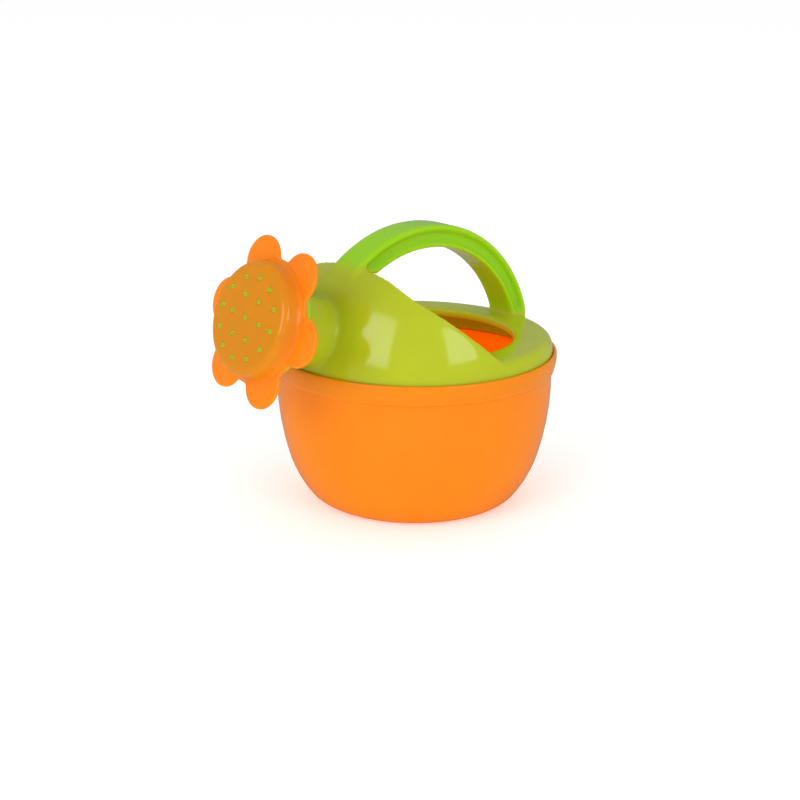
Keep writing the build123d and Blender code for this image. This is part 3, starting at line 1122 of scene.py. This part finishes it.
orange = plastic("orange pot plastic", *POT_ORANGE, shine=0.3)[0]
light_inner_walls(orange, POT_WALL_GLOW)
cup_green = plastic("green cup plastic", *CUP_GREEN)[0]
pot.data.materials.append(orange)
cup.data.materials.append(cup_green)
spray_plate.data.materials.append(cup_green)

# %% [markdown]
# ### Painted light from behind
# The cover mixes a fresh green, for the handle, with a warm lime, for what lies over the pot. The
# lime is painted warm light that comes through the orange pot. The flower mixes its orange with a
# browner one, for what has green behind it, which is painted light that comes through the green.
# The values stored on their points are the mix.

# %% Finishes with painted light
HANDLE_GREEN = ((0.315, 0.64, 0.003), (0.24, 0.55, 0.002))
# The hood's lime is the cover's green with painted warm light from the orange pot.
HOOD_LIME_PAINTED_POT_LIGHT = ((0.445, 0.525, 0.014), (0.37, 0.445, 0.01))
COVER_WALL_GLOW = (0.07, 0.05, 0.0)
PETAL_ORANGE = ((0.93, 0.24, 0.005), (0.84, 0.19, 0.004))
# The face's browner orange is the petals' orange with painted light from the green behind it.
FACE_PAINTED_GREEN_LIGHT = ((0.66, 0.235, 0.003), (0.59, 0.195, 0.002))


def mix_painted_light(name, attribute, tones, painted_light_tones, gloss, shine=0.5):
    """A moulded plastic whose colours mix towards painted light by a value stored on the piece's
    points.
    """
    material, skin = plastic(name, *tones, gloss=gloss, shine=shine)
    tree = material.node_tree
    stored = node(tree, "ShaderNodeAttribute", attribute_name=attribute)
    for socket, tone, other in zip(("Colour", "Deep colour"), tones, painted_light_tones):
        mix = node(tree, "ShaderNodeMix", data_type="RGBA", A=(*tone, 1), B=(*other, 1))
        tree.links.new(stored.outputs["Fac"], mix.inputs["Factor"])
        tree.links.new(mix.outputs["Result"], skin.inputs[socket])
    return material


green = mix_painted_light("green cover plastic", "painted_pot_light", HANDLE_GREEN, HOOD_LIME_PAINTED_POT_LIGHT, gloss=0.11)
light_inner_walls(green, COVER_WALL_GLOW)
cover.data.materials.append(green)
flower_orange = mix_painted_light(
    "orange flower plastic", "painted_green_light", PETAL_ORANGE, FACE_PAINTED_GREEN_LIGHT, gloss=0.16, shine=0.35,
)
rose.data.materials.append(flower_orange)

# %% [markdown]
# ## The floor
# The floor is one pale sheet, large enough to run out of every view. It is lit a little from below,
# like a light table, so that it stays white far from the lamps. The gloss mirrors it dimmer than it
# is, which keeps the pot's colour full down to its foot.

# %% Floor
FLOOR_HALF = 6.0
PAPER_GLOW = 0.32
PAPER_WHITE = (0.9, 0.9, 0.9, 1)
PAPER_MIRRORED = (0.4, 0.4, 0.4, 1)
PAPER_ROUGHNESS = 0.9

floor_bm = bmesh.new()
bmesh.ops.create_grid(floor_bm, x_segments=1, y_segments=1, size=FLOOR_HALF)
floor_mesh = bpy.data.meshes.new("floor")
floor_bm.to_mesh(floor_mesh)
floor_bm.free()
floor = bpy.data.objects.new("floor", floor_mesh)
bpy.context.scene.collection.objects.link(floor)
paper = bpy.data.materials.new("white paper")
paper.use_nodes = True
tree = paper.node_tree
sheet = tree.nodes["Principled BSDF"].inputs
sheet["Roughness"].default_value = PAPER_ROUGHNESS
sheet["Emission Color"].default_value = (1, 1, 1, 1)
path = tree.nodes.new("ShaderNodeLightPath")
white = node(tree, "ShaderNodeMix", data_type="RGBA", A=PAPER_WHITE, B=PAPER_MIRRORED)
paper_glow = node(tree, "ShaderNodeMix", data_type="FLOAT", A=PAPER_GLOW, B=0.0)
for mix, socket in ((white, "Base Color"), (paper_glow, "Emission Strength")):
    tree.links.new(path.outputs["Is Glossy Ray"], mix.inputs["Factor"])
    tree.links.new(mix.outputs["Result"], sheet[socket])
floor_mesh.materials.append(paper)
floor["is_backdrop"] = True

# %% [markdown]
# ## Studio light
# Two softboxes stand in front of the can, one on each side of the camera. They are what the glossy
# hood mirrors, so their places were chosen by the two patches of shine on it. The rest of the light
# is even and comes from a bright room. A Light Path node shows the camera that room as plain white,
# and lets the gloss mirror a dimmer one, so that the colours stay full between the two patches.

# %% Lights
HOOD_CENTRE = Vector((-0.02, 0, 0.065))
SOFTBOXES = (
    # name, degrees round from the front, degrees up, distance, width, height, power in watts
    ("left softbox", -78, 25, 0.9, 0.52, 0.5, 2.35),
    ("right softbox", 0, 22, 0.9, 0.38, 0.38, 1.3),
)
for name, turn, rise, distance, width, tall, power in SOFTBOXES:
    turn, rise = math.radians(turn), math.radians(rise)
    outward = Vector((
        math.sin(turn) * math.cos(rise),
        -math.cos(turn) * math.cos(rise),
        math.sin(rise),
    ))
    data = bpy.data.lights.new(name, "AREA")
    data.shape = "RECTANGLE"
    data.size = width
    data.size_y = tall
    data.energy = power
    lamp = bpy.data.objects.new(name, data)
    bpy.context.scene.collection.objects.link(lamp)
    lamp.location = HOOD_CENTRE + outward * distance
    lamp.rotation_euler = outward.to_track_quat("Z", "Y").to_euler()

ROOM_LIGHT = 0.78
ROOM_SHINE = 0.32

world = bpy.data.worlds.new("room")
bpy.context.scene.world = world
world.use_nodes = True
tree = world.node_tree
room = tree.nodes["Background"]
room.inputs["Color"].default_value = (1, 1, 1, 1)
room.inputs["Strength"].default_value = ROOM_LIGHT
mirrored = node(tree, "ShaderNodeBackground", Color=(1, 1, 1, 1), Strength=ROOM_SHINE)
seen = node(tree, "ShaderNodeBackground", Color=(1, 1, 1, 1), Strength=1.0)
path = tree.nodes.new("ShaderNodeLightPath")
shine = tree.nodes.new("ShaderNodeMixShader")
choose = tree.nodes.new("ShaderNodeMixShader")
tree.links.new(path.outputs["Is Glossy Ray"], shine.inputs["Fac"])
tree.links.new(room.outputs["Background"], shine.inputs[1])
tree.links.new(mirrored.outputs["Background"], shine.inputs[2])
tree.links.new(path.outputs["Is Camera Ray"], choose.inputs["Fac"])
tree.links.new(shine.outputs["Shader"], choose.inputs[1])
tree.links.new(seen.outputs["Background"], choose.inputs[2])
tree.links.new(choose.outputs["Shader"], tree.nodes["World Output"].inputs["Surface"])
bpy.context.scene.view_settings.view_transform = "Standard"

# %% [markdown]
# ## Size
# The finer meshes have to keep the imported model's size. How much their box has grown over the
# imported model's box is printed, in millimetres.

# %% Sizes
low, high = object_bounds()
corners = zip(low, high, cad_low, cad_high)
grown = [round(((b - a) - (d - c)) / MM, 2) for a, b, c, d in corners]
print("grown by, in mm:", grown)
